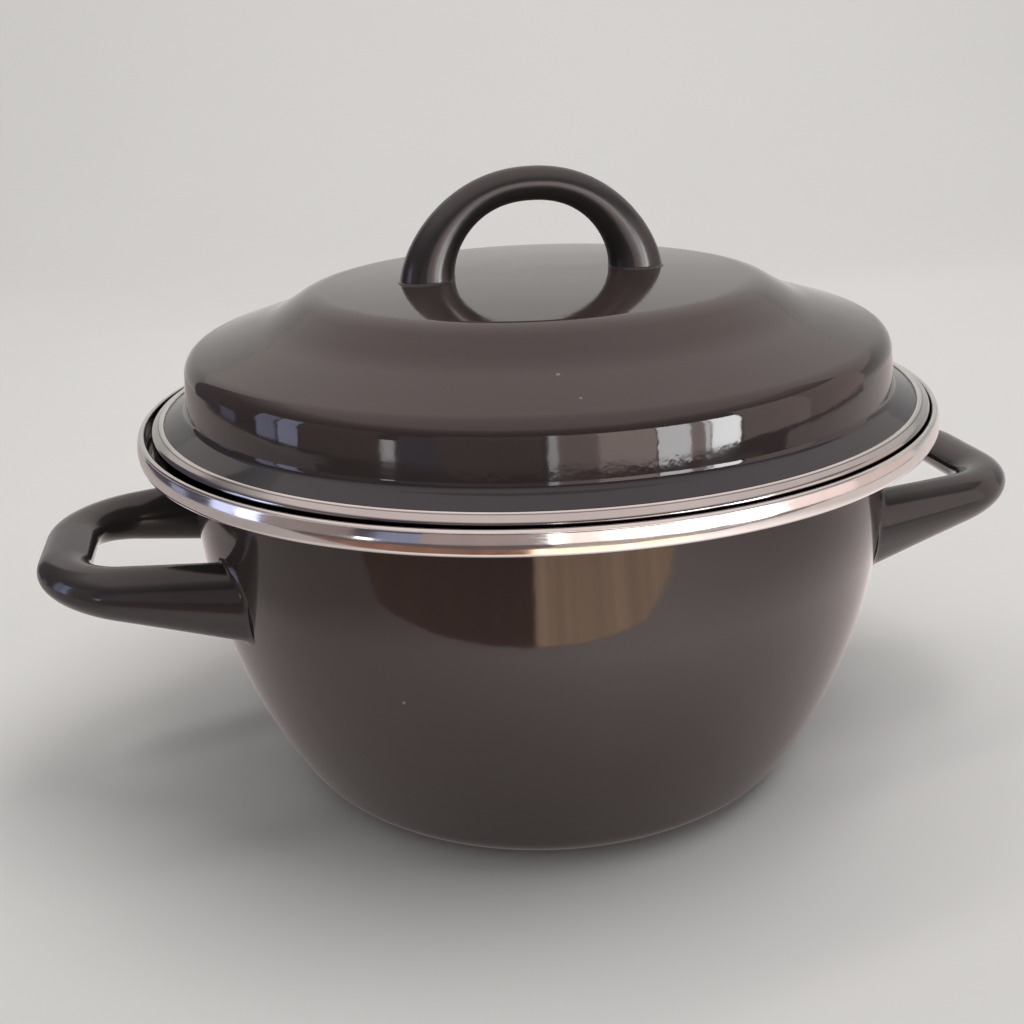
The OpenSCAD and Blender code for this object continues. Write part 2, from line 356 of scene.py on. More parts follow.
# The inner edge of the lid's band curls down on to the flange
BAND_WAY = run_dir(LID_BAND_LINE, 2)
BAND_STOP = np.array(LID_BAND_LINE[2][:2])
BAND_TIP = BAND_STOP + left_of(BAND_WAY) * BAND_CURL_R
LID_RIM_LINE = [
    [LID_R - RIM_LIP_W, SEAT_Z, 0],
    [LID_R, SEAT_Z, RIM_EDGE_R],
    [LID_BAND_LINE[1][0], LID_BAND_LINE[1][1] + LID_BAND_LIFT, LID_BAND_TURN_R],
    [BAND_STOP[0], BAND_STOP[1] + LID_BAND_LIFT, BAND_CURL_R],
    [*BAND_TIP, 0],
]


# Meshes


def add_mesh(name, points, faces, smooth=True):
    """A mesh in the scene from points in metres."""
    mesh = bpy.data.meshes.new(name)
    mesh.from_pydata(points, [], faces)
    mesh.validate()
    mesh.update()
    mesh.polygons.foreach_set("use_smooth", [smooth] * len(mesh.polygons))
    added = bpy.data.objects.new(name, mesh)
    bpy.context.scene.collection.objects.link(added)
    return added


def add_piece(name, points, faces):
    """A piece of the object from points in millimetres."""
    return add_mesh(name, [tuple(c * MM for c in p) for p in points], faces)


def turned(name, outline, shift=0.0):
    """A closed form turned about Z from its section outline, which may touch the axis."""
    points, rings = [], []
    for radius, height in outline:
        if radius < SAME:
            rings.append([len(points)])
            points.append((shift, 0.0, height))
        else:
            rings.append(list(range(len(points), len(points) + TURN_STEPS)))
            for k in range(TURN_STEPS):
                a = 2 * math.pi * k / TURN_STEPS
                points.append((shift + radius * math.cos(a), radius * math.sin(a), height))
    faces = []
    for low, high in zip(rings, rings[1:] + rings[:1]):
        if len(low) == 1 and len(high) == 1:
            continue
        for k in range(TURN_STEPS):
            n = (k + 1) % TURN_STEPS
            if len(low) == 1:
                faces.append((low[0], high[n], high[k]))
            elif len(high) == 1:
                faces.append((low[k], low[n], high[0]))
            else:
                faces.append((low[k], low[n], high[n], high[k]))
    return add_piece(name, points, faces)


def turned_sheet(name, line, thickness, shift=0.0):
    """A sheet of even thickness turned about Z, closed at its edges."""
    inner = rounded(beside(line, thickness))
    return turned(name, rounded(line) + inner[::-1], shift)


def skinned(name, rings):
    """A closed tube through rings of equally many points, with capped ends."""
    sides = len(rings[0])
    points = [p for ring in rings for p in ring]
    faces = []
    for i in range(len(rings) - 1):
        for k in range(sides):
            n = (k + 1) % sides
            a, b = i * sides, (i + 1) * sides
            faces.append((a + k, b + k, b + n, a + n))
    last = (len(rings) - 1) * sides
    faces.append(tuple(range(sides)))
    faces.append(tuple(last + k for k in range(sides - 1, -1, -1)))
    return add_piece(name, points, faces)


# Side handles

HANDLE_START = BODY_R - HANDLE_START_IN
LEG_RUN = BAR_X - HANDLE_START
LEG_END_Y = HANDLE_BAR_W / 2 + LEG_RUN * math.tan(HANDLE_SPREAD)
TURN_ANGLE = math.pi / 2 - HANDLE_SPREAD
LEG_LENGTH = LEG_RUN / math.cos(HANDLE_SPREAD) - HANDLE_TURN_R * math.tan(TURN_ANGLE / 2)


def leg_at(share):
    """Place and direction of the near leg's middle line in plan, from its start to the turn."""
    direction = np.array([math.cos(HANDLE_SPREAD), math.sin(HANDLE_SPREAD)])
    return np.array([HANDLE_START, -LEG_END_Y]) + direction * LEG_LENGTH * share, direction


def turn_at(share):
    """Place and direction of the middle line in plan along the turn from the leg into the bar."""
    start, direction = leg_at(1)
    centre = start + left_of(direction) * HANDLE_TURN_R
    a = HANDLE_SPREAD + TURN_ANGLE * share
    place = centre + HANDLE_TURN_R * np.array([math.sin(a), -math.cos(a)])
    return place, np.array([math.cos(a), math.sin(a)])


def wall_radius(height):
    """Outer radius of the pot's wall at a height."""
    heights, radii = WALL_TABLE
    return float(np.interp(height, heights, radii))


def wall_table():
    """Heights and outer radii along the pot's wall."""
    points = rounded(WALL_LINE + [[BODY_R, LEDGE_UNDER_Z, 0]])
    return [p[1] for p in points], [p[0] for p in points]


WALL_TABLE = wall_table()


def fillet(distance, radius):
    """How far a fillet of a radius stands out along a face, at a distance from that face."""
    short = radius - min(radius, max(0.0, distance))
    return radius - math.sqrt(radius ** 2 - short ** 2)


def wall_normal(point):
    """Outward direction of the pot's wall nearest to a point."""
    rise = wall_radius(point[2] + WALL_STEP) - wall_radius(point[2] - WALL_STEP)
    slope = rise / (2 * WALL_STEP)
    across = math.hypot(point[0], point[1])
    return unit(np.array([point[0] / across, point[1] / across, -slope]))


def handle_point(place, direction, around):
    """A point on the side handle's oval with its weld, and how far its bare place is from the wall."""
    out = (place[0] - BODY_R) / HANDLE_REACH
    half_w = HANDLE_TUBE_W / 2
    half_h = (HANDLE_LEG_H + (HANDLE_BAR_H - HANDLE_LEG_H) * out) / 2
    middle = POT_H - HANDLE_DROP + HANDLE_RISE * out
    across = left_of(direction)
    cosine, sine = math.cos(around), math.sin(around)
    side = across * half_w * cosine
    bare = np.array([place[0] + side[0], place[1] + side[1], middle + half_h * sine])
    gap = math.hypot(bare[0], bare[1]) - wall_radius(bare[2])
    if gap > WELD_R:
        return bare, gap
    # The fillet stands out along the wall, away from the leg
    away = np.array([*(across * cosine / half_w), sine / half_h])
    normal = wall_normal(bare)
    along = unit(away - normal * (away @ normal))
    point = bare + along * fillet(gap, WELD_R)
    spread_gap = math.hypot(point[0], point[1]) - wall_radius(point[2])
    return point - normal * (spread_gap - gap), gap


def leg_start(around):
    """Share of the leg at which this side of it meets the wall, found by halving."""
    low, high = 0.0, 1.0
    for _ in range(HALVINGS):
        middle = (low + high) / 2
        place, direction = leg_at(middle)
        if handle_point(place, direction, around)[1] < -SINK:
            low = middle
        else:
            high = middle
    return high


def side_handle(name, turn):
    """Loop handle whose two legs end in the pot's wall."""
    sides = [2 * math.pi * k / TUBE_SIDES for k in range(TUBE_SIDES)]
    starts = [leg_start(a) for a in sides]
    half = []
    for i in range(LEG_STEPS):
        # The rings lie closer together at the weld
        share = (i / LEG_STEPS) ** LEG_CROWDING
        ring = []
        for a, start in zip(sides, starts):
            place, direction = leg_at(start + (1 - start) * share)
            ring.append(handle_point(place, direction, a)[0])
        half.append(ring)
    for i in range(HANDLE_TURN_STEPS + 1):
        place, direction = turn_at(i / HANDLE_TURN_STEPS)
        half.append([handle_point(place, direction, a)[0] for a in sides])
    mirrored = [[np.array([p[0], -p[1], p[2]]) for p in ring] for ring in reversed(half)]
    # The bar is straight between the turns
    bar = []
    for i in range(1, BAR_STEPS):
        bar.append([a + (b - a) * i / BAR_STEPS for a, b in zip(half[-1], mirrored[0])])
    cosine, sine = math.cos(turn), math.sin(turn)
    rings = [
        [(p[0] * cosine - p[1] * sine, p[0] * sine + p[1] * cosine, p[2]) for p in ring]
        for ring in half + bar + mirrored
    ]
    return skinned(name, rings)


# Lid handle


def bow_at(a):
    """Place of the bow's middle line, along X and above its feet. The angle is 0 at the top."""
    along = math.copysign(abs(math.sin(a)) ** (2 / BOW_SHOULDER), math.sin(a))
    return np.array([BOW_HALF_SPAN * along, BOW_H * max(0.0, math.cos(a)) ** (2 / BOW_CROWN)])


def bow_ring(a):
    """The ring of points round the bow at an angle, with its weld at the feet."""
    spot = bow_at(a)
    quarter = math.pi / 2
    if abs(abs(a) - quarter) < SAME_ANGLE:
        direction = np.array([0.0, -math.copysign(1, a)])
    else:
        ahead, behind = min(a + BOW_STEP, quarter), max(a - BOW_STEP, -quarter)
        direction = unit(bow_at(ahead) - bow_at(behind))
    swell = (BOW_FOOT_T - BOW_TOP_T) * (1 - spot[1] / BOW_H) ** BOW_TAPER
    half_t = (BOW_TOP_T + swell) / 2
    ring = []
    for k in range(TUBE_SIDES):
        around = 2 * math.pi * k / TUBE_SIDES
        side = left_of(direction) * half_t * math.cos(around)
        weld = fillet(spot[1] + side[1], BOW_WELD_R)
        side = left_of(direction) * (half_t + weld) * math.cos(around)
        ring.append((
            LID_SHIFT + spot[0] + side[0],
            -(half_t * BOW_WIDTH_SHARE + weld) * math.sin(around),
            BOW_FOOT_Z + spot[1] + side[1],
        ))
    return ring


def lid_bow(name):
    """Bow handle whose two feet end in the lid's crown."""
    rings = []
    for i in range(BOW_STEPS + 1):
        share = 2 * i / BOW_STEPS - 1
        # The rings lie closer together near the feet
        a = math.pi / 2 * math.copysign(1 - (1 - abs(share)) ** BOW_CROWDING, share)
        rings.append(bow_ring(a))
    foot = [(p[0], p[1], BOW_FOOT_Z - BOW_SINK) for p in rings[0]]
    other = [(p[0], p[1], BOW_FOOT_Z - BOW_SINK) for p in rings[-1]]
    return skinned(name, [foot] + rings + [other])


# Materials


class Nodes:
    """Short calls for making a node material."""

    def __init__(self, name):
        self.material = bpy.data.materials.new(name)
        self.material.use_nodes = True
        self.tree = self.material.node_tree
        self.shader = self.tree.nodes["Principled BSDF"]

    def add(self, kind, **settings):
        node = self.tree.nodes.new(kind)
        for key, value in settings.items():
            setattr(node, key, value)
        return node

    def join(self, source, target):
        self.tree.links.new(source, target)

    def place(self):
        return self.add("ShaderNodeTexCoord").outputs["Object"]

    def axes(self):
        """X, Y and Z of the place."""
        parts = self.add("ShaderNodeSeparateXYZ")
        self.join(self.place(), parts.inputs["Vector"])
        return [parts.outputs[axis] for axis in "XYZ"]

    def reach(self, x, y):
        """How far a place is from the upright line at x and y of zero."""
        square = self.math("ADD", self.math("POWER", x, 2), self.math("POWER", y, 2))
        return self.math("SQRT", square)

    def noise(self, scale, detail=2.0, roughness=0.5, where=None):
        node = self.add("ShaderNodeTexNoise")
        node.inputs["Scale"].default_value = scale
        node.inputs["Detail"].default_value = detail
        node.inputs["Roughness"].default_value = roughness
        self.join(where if where is not None else self.place(), node.inputs["Vector"])
        return node.outputs["Fac"]

    def spread(self, source, low, high, out_low, out_high):
        """Low to high of the source, turned into out_low to out_high."""
        node = self.add("ShaderNodeMapRange")
        for key, value in (("From Min", low), ("From Max", high), ("To Min", out_low), ("To Max", out_high)):
            node.inputs[key].default_value = value
        self.join(source, node.inputs["Value"])
        return node.outputs["Result"]

    def math(self, operation, first, second=0):
        node = self.add("ShaderNodeMath", operation=operation)
        for socket, value in zip(node.inputs, (first, second)):
            if isinstance(value, (int, float)):
                socket.default_value = value
            else:
                self.join(value, socket)
        return node.outputs["Value"]

    def blend(self, share, first, second):
        node = self.add("ShaderNodeMix", data_type="RGBA")
        self.join(share, node.inputs["Factor"])
        for socket, value in ((node.inputs["A"], first), (node.inputs["B"], second)):
            if isinstance(value, tuple):
                socket.default_value = (*value, 1)
            else:
                self.join(value, socket)
        return node.outputs["Result"]

    def bump(self, height, distance, strength=1.0, normal=None):
        node = self.add("ShaderNodeBump")
        node.inputs["Strength"].default_value = strength
        node.inputs["Distance"].default_value = distance
        self.join(height, node.inputs["Height"])
        if normal is not None:
            self.join(normal, node.inputs["Normal"])
        return node.outputs["Normal"]


ENAMEL = (0.050, 0.036, 0.035)
ENAMEL_DEEP = (0.043, 0.031, 0.030)
ENAMEL_SPECK = (0.20, 0.19, 0.18)
# The handles are a little darker and cooler, and the lid's flange gets a darker and cooler painted shade
HANDLE_ENAMEL = (0.040, 0.035, 0.036)
HANDLE_ENAMEL_DEEP = (0.034, 0.029, 0.030)
FLANGE_SHADE = (0.026, 0.024, 0.029)
# The painted shade on the flange ends this far above the foot of the lid's wall, and fades over this height
SHADE_OVER_FOOT = 1
SHADE_FADE = 1.5
# Lowest and highest roughness
BODY_GLOSS = (0.045, 0.1)
HANDLE_GLOSS = (0.12, 0.18)
BOW_GLOSS = (0.2, 0.26)
ENAMEL_IOR = 1.52
# Each noise has its scale, detail and roughness, each range is the part of it that is used, and each
# bump has its depth in metres and its strength
CLOUD_NOISE = (22, 3)
CLOUD_RANGE = (0.3, 0.7)
SMEAR_NOISE = (35, 4, 0.6)
SMEAR_RANGE = (0.35, 0.75)
SPECK_CELLS = 95
SPECK_RANGE = (0.035, 0.06)
SPECK_CHOICE_NOISE = (70, 0)
SPECK_CHOICE_RANGE = (0.66, 0.68)
RIPPLE_NOISE = (28, 1)
RIPPLE_BUMP = (0.0006, 0.25)
PEEL_NOISE = (420, 2)
PEEL_BUMP = (0.00002, 0.5)


def enamel_material(name, gloss, light=ENAMEL, deep=ENAMEL_DEEP, shade_top=None):
    """Dark brown-grey enamel with a faint ripple and a few light specks.

    Gloss holds the lowest and highest roughness. Below the height given as the last argument, in millimetres,
    it is darker with painted shade.
    """
    n = Nodes(name)
    cloud = n.spread(n.noise(*CLOUD_NOISE), *CLOUD_RANGE, 0, 1)
    colour = n.blend(cloud, deep, light)
    if shade_top is not None:
        # Painted shade darkens the enamel towards the lid's flange
        flange_shade = n.spread(n.axes()[2], (shade_top - SHADE_FADE) * MM, shade_top * MM, 1, 0)
        colour = n.blend(flange_shade, colour, FLANGE_SHADE)
    cells = n.add("ShaderNodeTexVoronoi")
    cells.inputs["Scale"].default_value = SPECK_CELLS
    n.join(n.place(), cells.inputs["Vector"])
    dots = n.spread(cells.outputs["Distance"], *SPECK_RANGE, 1, 0)
    chosen = n.spread(n.noise(*SPECK_CHOICE_NOISE), *SPECK_CHOICE_RANGE, 0, 1)
    colour = n.blend(n.math("MULTIPLY", dots, chosen), colour, ENAMEL_SPECK)
    n.join(colour, n.shader.inputs["Base Color"])
    smear = n.spread(n.noise(*SMEAR_NOISE), *SMEAR_RANGE, *gloss)
    n.join(smear, n.shader.inputs["Roughness"])
    n.shader.inputs["IOR"].default_value = ENAMEL_IOR
    ripple = n.bump(n.noise(*RIPPLE_NOISE), *RIPPLE_BUMP)
    peel = n.bump(n.noise(*PEEL_NOISE), *PEEL_BUMP, ripple)
    n.join(peel, n.shader.inputs["Normal"])
    return n.material


STEEL = (0.78, 0.76, 0.74)
STEEL_DULL = (0.62, 0.60, 0.58)
STEEL_GLOSS = (0.07, 0.17)
DULL_NOISE = (60, 4, 0.6)
DULL_RANGE = (0.35, 0.75)
DULL_SHARE = 0.6
# The noise of the rubbed lines moves on by this much for each radian round the band, in metres
RUBBED_DRIFT = 0.004
RUBBED_NOISE = (2600, 3, 0.6)
RUBBED_RANGE = (0.3, 0.7)
RUBBED_BUMP = (0.000004, 0.6)
DENT_NOISE = (45, 2)
DENT_BUMP = (0.0003, 0.2)
# Painted shade in the groove between the bands: where it is full and where it ends, outwards from the inner
# edge of the pot's band, and downwards from that band's top on the lid's band
GROOVE_SHADE = (0.018, 0.015, 0.014)
POT_BAND_SHADE_ENDS = (0.1, 0.5)
LID_BAND_SHADE_ENDS = (0.6, 0.25)
# The fold line runs this far inside the lid's edge, with a painted dark line along it. Outside it the band is
# a little darker, with painted shade
FOLD_IN = 2.1
FOLD_ENDS = (0.08, 0.3)
FOLD_SHADE_SHARE = 0.7
OUTER_FADE = 0.3
OUTER_SHADE_SHARE = 0.28


def pot_band_shade(n, radius, _height):
    """Painted shade where the pot's band turns down beside the lid."""
    full, end = POT_BAND_SHADE_ENDS
    return n.spread(radius, (RIM_IN_R + full) * MM, (RIM_IN_R + end) * MM, 1, 0)


def lid_band_shade(n, radius, height):
    """Painted shade where the lid's band goes down inside the pot's, a painted dark line along the fold at
    its top, and painted shade outside the fold.
    """
    full, end = LID_BAND_SHADE_ENDS
    deep = n.spread(height, (POT_H - full) * MM, (POT_H - end) * MM, 1, 0)
    # A painted dark line along the fold, and painted shade outside it
    fold_r = LID_R - FOLD_IN
    fold_gap = n.math("ABSOLUTE", n.math("SUBTRACT", radius, fold_r * MM))
    full, end = FOLD_ENDS
    fold_shade = n.spread(fold_gap, full * MM, end * MM, FOLD_SHADE_SHARE, 0)
    outer_shade = n.spread(radius, fold_r * MM, (fold_r + OUTER_FADE) * MM, 0, OUTER_SHADE_SHARE)
    return n.math("MAXIMUM", n.math("MAXIMUM", deep, fold_shade), outer_shade)


def steel_material(name, band_shade, shift=0.0):
    """Polished steel band with fine rubbed lines round it, and painted shade in the groove between the bands.
    """
    n = Nodes(name)
    x, y, z = n.axes()
    radius = n.reach(n.math("SUBTRACT", x, shift * MM), y)
    angle = n.math("ARCTAN2", y, x)
    wound = n.add("ShaderNodeCombineXYZ")
    n.join(n.math("MULTIPLY", angle, RUBBED_DRIFT), wound.inputs["X"])
    n.join(radius, wound.inputs["Y"])
    n.join(z, wound.inputs["Z"])
    lines = n.noise(*RUBBED_NOISE, wound.outputs["Vector"])
    dull = n.spread(n.noise(*DULL_NOISE), *DULL_RANGE, 0, DULL_SHARE)
    steel = n.blend(dull, STEEL, STEEL_DULL)
    # The steel is darkened towards the painted shade colour where the shade mask says
    n.join(n.blend(band_shade(n, radius, z), steel, GROOVE_SHADE), n.shader.inputs["Base Color"])
    n.shader.inputs["Metallic"].default_value = 1
    n.join(n.spread(lines, *RUBBED_RANGE, *STEEL_GLOSS), n.shader.inputs["Roughness"])
    rubbed = n.bump(lines, *RUBBED_BUMP)
    n.join(n.bump(n.noise(*DENT_NOISE), *DENT_BUMP, rubbed), n.shader.inputs["Normal"])
    return n.material


def dress(piece, material, slot, *nodes):
    """Material, body and replaced solids of a piece; the slot argument is not used."""
    piece.data.materials.append(material)
    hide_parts(*nodes)
    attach(piece, "root")
    return piece


# Studio

FLOOR_COLOUR = (0.77, 0.77, 0.765)
FLOOR_CLOUD_NOISE = (6, 2)
FLOOR_CLOUD_SHADE = 0.97
FLOOR_ROUGHNESS = 0.9
FLOOR_SPECULAR = 0.1
FLOOR_HALF_WIDTH = 4.0
FLOOR_NEAR = -2.5
# The floor runs level to here behind the pot, and then turns up into the back wall
FLOOR_BACK = 0.9
SWEEP_R = 0.8
SWEEP_STEPS = 24
WALL_TOP = 0.85
# What lights matt faces, and what the camera and the gloss see past the wall
AMBIENT_COLOUR = (0.385, 0.38, 0.375)
SKY_LOW = (0.64, 0.59, 0.56)
SKY_HIGH = (0.95, 0.81, 0.79)
# The sky turns from low to high between these upward parts of the direction
SKY_FROM = 0.35
SKY_TO = 0.9
# Name, place, aim, size, power, colour
LAMPS = (
    ("key", (0.5, -0.35, 1.7), (0, 0, 0.05), (1.0, 1.0), 12.5, (1.0, 0.98, 0.96)),
    ("wall_wash", (0.0, 0.3, 1.7), (-0.35, 1.65, 0.45), (2.4, 0.4), 12.5, (1.0, 0.95, 0.90)),
)


def make_floor():
    """Plain pale floor that turns up into a back wall with no edge to see."""
    section = [(FLOOR_NEAR, 0.0), (FLOOR_BACK, 0.0)]
    for k in range(1, SWEEP_STEPS + 1):
        a = math.pi / 2 * k / SWEEP_STEPS
        section.append((FLOOR_BACK + SWEEP_R * math.sin(a), SWEEP_R * (1 - math.cos(a))))
    section.append((FLOOR_BACK + SWEEP_R, WALL_TOP))
    turn = Matrix.Rotation(-CAMERA_ROUND, 3, "Z")
    points, faces = [], []
    for far, z in section:
        for x in (-FLOOR_HALF_WIDTH, FLOOR_HALF_WIDTH):
            points.append(tuple(turn @ Vector((x, far, z))))
    for k in range(len(section) - 1):
        faces.append((2 * k, 2 * k + 1, 2 * k + 3, 2 * k + 2))
    floor = add_mesh("floor", points, faces)
    n = Nodes("floor")
    cloud = tuple(FLOOR_CLOUD_SHADE * c for c in FLOOR_COLOUR)
    n.join(n.blend(n.noise(*FLOOR_CLOUD_NOISE), FLOOR_COLOUR, cloud), n.shader.inputs["Base Color"])
    n.shader.inputs["Roughness"].default_value = FLOOR_ROUGHNESS
    n.shader.inputs["Specular IOR Level"].default_value = FLOOR_SPECULAR
    floor.data.materials.append(n.material)


def make_world():
    """One colour for matt faces, and a sky for the camera and the gloss."""
    world = bpy.data.worlds.new("studio")
    world.use_nodes = True
    tree = world.node_tree
    background = tree.nodes["Background"]
    background.inputs["Strength"].default_value = 1
    path = tree.nodes.new("ShaderNodeLightPath")
    seen = tree.nodes.new("ShaderNodeMath")
    seen.operation = "MAXIMUM"
    tree.links.new(path.outputs["Is Camera Ray"], seen.inputs[0])
    tree.links.new(path.outputs["Is Glossy Ray"], seen.inputs[1])
    mix = tree.nodes.new("ShaderNodeMix")
    mix.data_type = "RGBA"
    tree.links.new(seen.outputs["Value"], mix.inputs["Factor"])
    mix.inputs["A"].default_value = (*AMBIENT_COLOUR, 1)
    # The sky grows brighter towards the top
    place = tree.nodes.new("ShaderNodeTexCoord")
    parts = tree.nodes.new("ShaderNodeSeparateXYZ")
    tree.links.new(place.outputs["Generated"], parts.inputs["Vector"])
    rise = tree.nodes.new("ShaderNodeMapRange")
    rise.inputs["From Min"].default_value = SKY_FROM
    rise.inputs["From Max"].default_value = SKY_TO
    tree.links.new(parts.outputs["Z"], rise.inputs["Value"])
    sky = tree.nodes.new("ShaderNodeMix")
    sky.data_type = "RGBA"
    sky.inputs["A"].default_value = (*SKY_LOW, 1)
    sky.inputs["B"].default_value = (*SKY_HIGH, 1)
    tree.links.new(rise.outputs["Result"], sky.inputs["Factor"])
    tree.links.new(sky.outputs["Result"], mix.inputs["B"])
    tree.links.new(mix.outputs["Result"], background.inputs["Color"])
    bpy.context.scene.world = world


def make_lamp(name, place, aim, size, power, colour):
    """Soft lamp that lights the object and doesn't show in its gloss."""
    data = bpy.data.lights.new(name, "AREA")
    data.shape = "RECTANGLE"
    data.size, data.size_y = size
    data.energy = power
    data.color = colour
    lamp = bpy.data.objects.new(name, data)
    lamp.location = place
    lamp.rotation_euler = (Vector(aim) - Vector(place)).to_track_quat("-Z", "Y").to_euler()
    lamp.visible_glossy = False
    bpy.context.scene.collection.objects.link(lamp)


def glow_material(name, colour, strength=1.0):
    """Glow. Its colour or strength may also be a function that makes it from the material's nodes."""
    n = Nodes(name)
    n.tree.nodes.remove(n.shader)
    glow = n.add("ShaderNodeEmission")
    if callable(colour):
        n.join(colour(n), glow.inputs["Color"])
    else:
        glow.inputs["Color"].default_value = (*colour, 1)
    if callable(strength):
        n.join(strength(n), glow.inputs["Strength"])
    else:
        glow.inputs["Strength"].default_value = strength
    output = n.tree.nodes["Material Output"]
    n.join(glow.outputs["Emission"], output.inputs["Surface"])
    return n.material


def add_card(name, points, faces, material):
    """A card that shows in the gloss alone, and neither lights matt faces nor casts a shadow."""
    card = add_mesh(name, points, faces, smooth=False)
    card.data.materials.append(material)
    card.visible_camera = False
    card.visible_diffuse = False
    card.visible_transmission = False
    card.visible_volume_scatter = False
    card.visible_shadow = False


def standing_card(name, azimuths, heights, distance, colour, strength=1.0):
    """Curved upright card. Azimuths in degrees run from straight in front (-Y) towards +X."""
    first, last = azimuths
    steps = max(FEWEST_CARD_STEPS, math.ceil(abs(last - first) / CARD_STEP))
    points, faces = [], []
    for k in range(steps + 1):
        a = math.radians(first + (last - first) * k / steps)
        for z in heights:
            points.append((distance * math.sin(a), -distance * math.cos(a), z))
    for k in range(steps):
        faces.append((2 * k, 2 * k + 2, 2 * k + 3, 2 * k + 1))
    add_card(name, points, faces, glow_material(name, colour, strength))


def lying_card(name, corners, height, colour, strength=1.0):
    """Flat card over the floor, from its corners in millimetres."""
    points = [(x * MM, y * MM, height * MM) for x, y in corners]
    add_card(name, points, [tuple(range(len(points)))], glow_material(name, colour, strength))


# Curved cards are divided every so many degrees
CARD_STEP = 3
FEWEST_CARD_STEPS = 2
# Plain tones of what the gloss mirrors
DAYLIGHT = (1.0, 1.0, 1.0)
COOL_LIGHT = (0.65, 0.7, 1.0)
WARM_WALL = (1.0, 0.8, 0.75)
# The room that the front of the gloss looks into, in metres and degrees of azimuth
ROOM_R = 0.75
ROOM = (-140, 100)
ROOM_FOOT = 0.001
ROOM_TOP = 0.85
ROOM_COLOUR = (0.09, 0.075, 0.095)
# It fades into the sky from this height, slowly at first
ROOM_FADE_FROM = 0.42
ROOM_FADE_POWER = 1.6
# The windows and pieces of wall in it stand this far in front: name, azimuths, heights, colour, strength
WINDOW_GAP = 0.01
LOW_WALL = 0.012
WINDOWS = (
    ("far_left", (-120, -112), (LOW_WALL, 0.10), COOL_LIGHT, 0.5),
    ("left_window", (-101, -93), (LOW_WALL, 0.36), COOL_LIGHT, 1.5),
    ("left_window_inner", (-92, -84), (LOW_WALL, 0.36), COOL_LIGHT, 2.5),
    ("left_wall", (-83, -57), (LOW_WALL, 0.40), WARM_WALL, 0.3),
    ("gap_window", (-56, -52), (0.015, 0.085), DAYLIGHT, 4),
    ("cool_wall", (-51, -40), (LOW_WALL, 0.28), COOL_LIGHT, 0.4),
    ("dim_wall", (-40, -11), (LOW_WALL, 0.36), WARM_WALL, 0.4),
    ("streak", (-9.5, -7), (LOW_WALL, 0.36), DAYLIGHT, 4),
    ("warm_wall", (-7, 4), (LOW_WALL, 0.34), WARM_WALL, 1.5),
    ("bright_wall", (4, 20), (LOW_WALL, 0.33), WARM_WALL, 3),
    ("window_a", (20.5, 30), (LOW_WALL, 0.32), DAYLIGHT, 8),
    ("window_frame", (30, 34.5), (LOW_WALL, 0.33), WARM_WALL, 2.5),
    ("window_b", (34.5, 36), (LOW_WALL, 0.33), DAYLIGHT, 8),
    ("window_c", (36.5, 46), (LOW_WALL, 0.33), DAYLIGHT, 14),
    ("right_wall", (47, 72), (LOW_WALL, 0.5), WARM_WALL, 1.2),
    ("right_wall_far", (72, 100), (LOW_WALL, 0.5), WARM_WALL, 0.8),
)
# The cloth that the pot stands on ends in front of it, nearest to it at the left. Corners in plan
# and heights are in millimetres
CLOTH_EDGE = [
    (-430, -170), (-225, -165), (-150, -182), (-57, -208), (0, -220), (56, -236), (85, -272), (115, -292),
]
CLOTH_EDGE_LEFT = [(-700, -150)]
CLOTH_EDGE_RIGHT = [(150, -330), (700, -330)]
CLOTH_BACK = [(-700, 700), (700, 700)]
CLOTH_COLOUR = (1.0, 0.88, 0.85)
# Its glow: places in metres between which it changes, and its shares there. Weaker by the base is a painted
# shadow of the pot, and the change from left to right is painted light and shade
CLOTH_SHADOW_BY_REACH = (0.075, 0.2, 0.15, 1.0)
CLOTH_AT_LEFT = (-0.24, 0.0, 0.46, 1.55)
CLOTH_AT_RIGHT = (0.08, 0.3, 1.0, 0.5)
# Dark ground past the cloth's edge, and a brighter part of it at the right
GROUND_NEAR = [(700, -760), (-760, -760)]
GROUND_COLOUR = (0.13, 0.105, 0.11)
GROUND_RIGHT = [(-70, -360), (150, -345), (560, -420), (400, -620), (-90, -740)]
GROUND_RIGHT_COLOUR = (1.0, 0.9, 0.84)
GROUND_RIGHT_STRENGTH = 0.45
STRIPES_NEAR = [(150, -330), (95, -350), (-68, -352), (-140, -345), (-350, -330)]
GROUND_Z = 0.8
STRIPES_Z = 1.2
GROUND_RIGHT_Z = 1.6
# Soft stripes of the ground next to the cloth, brown at the left and tan at the right. Their noise
# runs over the azimuth in radians
STRIPES_BROWN = (0.1, 0.05, 0.035)
STRIPES_TAN = (0.9, 0.6, 0.4)
STRIPES_TURN = (math.radians(-14), math.radians(-13))
STRIPES_NOISE = (12, 2)
STRIPES_RANGE = (0.3, 0.7)
STRIPES_STRENGTH = (2.2, 3.6)


def room_shade(n):
    """The dark room fades upwards into the sky's low colour."""
    share = n.spread(n.axes()[2], ROOM_FADE_FROM, ROOM_TOP, 0, 1)
    return n.blend(n.math("POWER", share, ROOM_FADE_POWER), ROOM_COLOUR, SKY_LOW)


def cloth_shade(n):
    """Glow of the cloth: weaker by the base as a painted shadow of the pot, and towards the left and the far
    right as painted shade.
    """
    x, y, _ = n.axes()
    out = n.spread(n.reach(x, y), *CLOTH_SHADOW_BY_REACH)
    left = n.spread(x, *CLOTH_AT_LEFT)
    right = n.spread(x, *CLOTH_AT_RIGHT)
    return n.math("MULTIPLY", n.math("MULTIPLY", out, left), right)


def stripes_azimuth(n):
    """Azimuth from straight in front, in radians."""
    x, y, _ = n.axes()
    return n.math("ARCTAN2", x, n.math("MULTIPLY", y, -1))


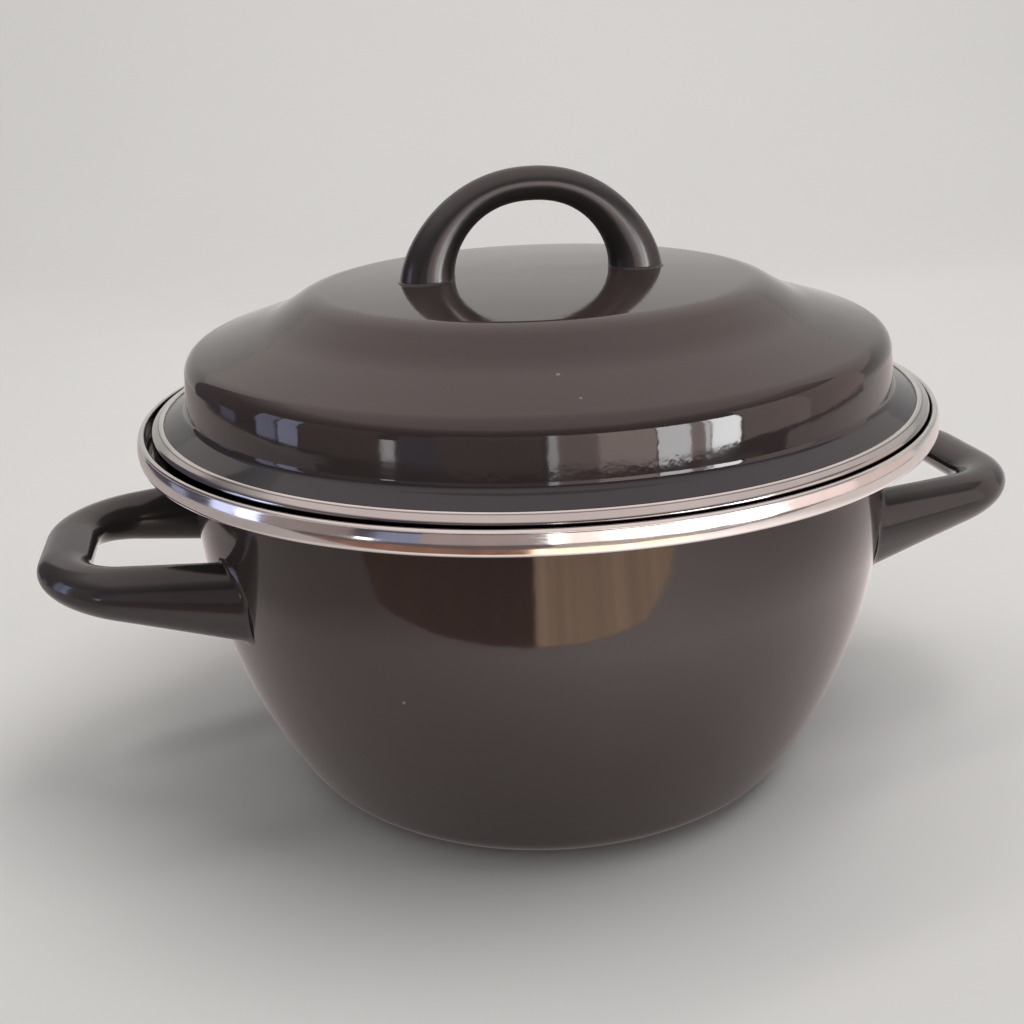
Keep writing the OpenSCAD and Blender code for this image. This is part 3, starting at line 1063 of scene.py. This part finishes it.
def stripes_colour(n):
    """Brown ground at the left and tan at the right."""
    side = n.spread(stripes_azimuth(n), *STRIPES_TURN, 0, 1)
    return n.blend(side, STRIPES_BROWN, STRIPES_TAN)


def stripes_glow(n):
    """Soft stripes that run away from the pot."""
    across = n.add("ShaderNodeCombineXYZ")
    n.join(stripes_azimuth(n), across.inputs["X"])
    wave = n.noise(*STRIPES_NOISE, where=across.outputs["Vector"])
    return n.spread(wave, *STRIPES_RANGE, *STRIPES_STRENGTH)


def make_ground():
    """The cloth and the ground in front of it, as the gloss sees them."""
    edge = CLOTH_EDGE_LEFT + CLOTH_EDGE + CLOTH_EDGE_RIGHT
    lying_card("ground", edge + GROUND_NEAR, GROUND_Z, GROUND_COLOUR)
    lying_card("cloth", CLOTH_BACK + edge[::-1], GROUND_Z, CLOTH_COLOUR, cloth_shade)
    lying_card("stripes", CLOTH_EDGE + STRIPES_NEAR, STRIPES_Z, stripes_colour, stripes_glow)
    lying_card("ground_right", GROUND_RIGHT, GROUND_RIGHT_Z, GROUND_RIGHT_COLOUR, GROUND_RIGHT_STRENGTH)


def make_studio():
    make_floor()
    make_world()
    for row in LAMPS:
        make_lamp(*row)
    standing_card("room", ROOM, (ROOM_FOOT, ROOM_TOP), ROOM_R, room_shade)
    for name, azimuths, heights, colour, strength in WINDOWS:
        standing_card(name, azimuths, heights, ROOM_R - WINDOW_GAP, colour, strength)
    make_ground()


def main():
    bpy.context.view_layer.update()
    make_camera()
    enamel = enamel_material("enamel", BODY_GLOSS)
    lid_enamel = enamel_material("lid_enamel", BODY_GLOSS, shade_top=WALL_FOOT_Z + SHADE_OVER_FOOT)
    soft_enamel = enamel_material("handle_enamel", HANDLE_GLOSS, HANDLE_ENAMEL, HANDLE_ENAMEL_DEEP)
    bow_enamel = enamel_material("bow_enamel", BOW_GLOSS, HANDLE_ENAMEL, HANDLE_ENAMEL_DEEP)
    pot_steel = steel_material("pot_band_steel", pot_band_shade)
    lid_steel = steel_material("lid_band_steel", lid_band_shade, LID_SHIFT)
    dress(turned_sheet("pot_bowl", POT_LINE, SHEET_T), enamel, "enamel", "pot_body")
    dress(turned_sheet("pot_band", POT_RIM_LINE, RIM_T), pot_steel, "steel_band", "pot_rim")
    dress(side_handle("pot_handle_left", math.pi), soft_enamel, "enamel", "handle_left")
    dress(side_handle("pot_handle_right", 0), soft_enamel, "enamel", "handle_right")
    dress(turned_sheet("lid_dome", LID_LINE, SHEET_T, LID_SHIFT), lid_enamel, "enamel", "lid_shell")
    dress(turned_sheet("lid_band", LID_RIM_LINE, RIM_T, LID_SHIFT), lid_steel, "steel_band", "lid_rim")
    dress(lid_bow("lid_bow"), bow_enamel, "enamel", "lid_handle")
    make_studio()
    bpy.context.scene.view_settings.view_transform = "Standard"


main()
